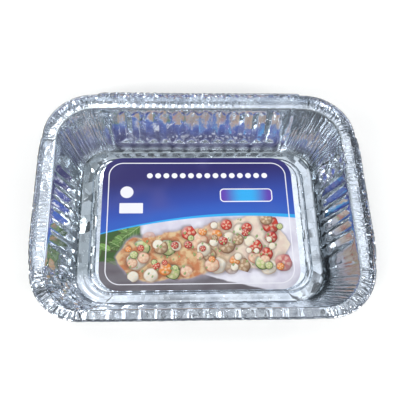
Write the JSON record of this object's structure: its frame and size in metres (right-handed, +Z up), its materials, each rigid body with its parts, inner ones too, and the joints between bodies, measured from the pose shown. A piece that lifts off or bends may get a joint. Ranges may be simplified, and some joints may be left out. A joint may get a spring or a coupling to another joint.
{
  "type": "foil roasting pan",
  "caption": "Deep rounded-rectangular foil roasting pan with fluted walls, pleated corners, a crimped ledge and lip, and a printed card lying on its floor.",
  "frame": {"origin": "middle of the base, on the surface that the pan stands on", "axes": "+X along the long sides, to the right; +Y to the back; +Z up, out of the mouth"},
  "size_m": [0.3224, 0.2432, 0.0651],
  "materials": {
    "foil": "bright rolled foil, crinkled on the rim and corners",
    "card": "gloss-coated printed card"
  },
  "bodies": {
    "root": {"pan": "foil", "card": "card"}
  },
  "joints": []
}
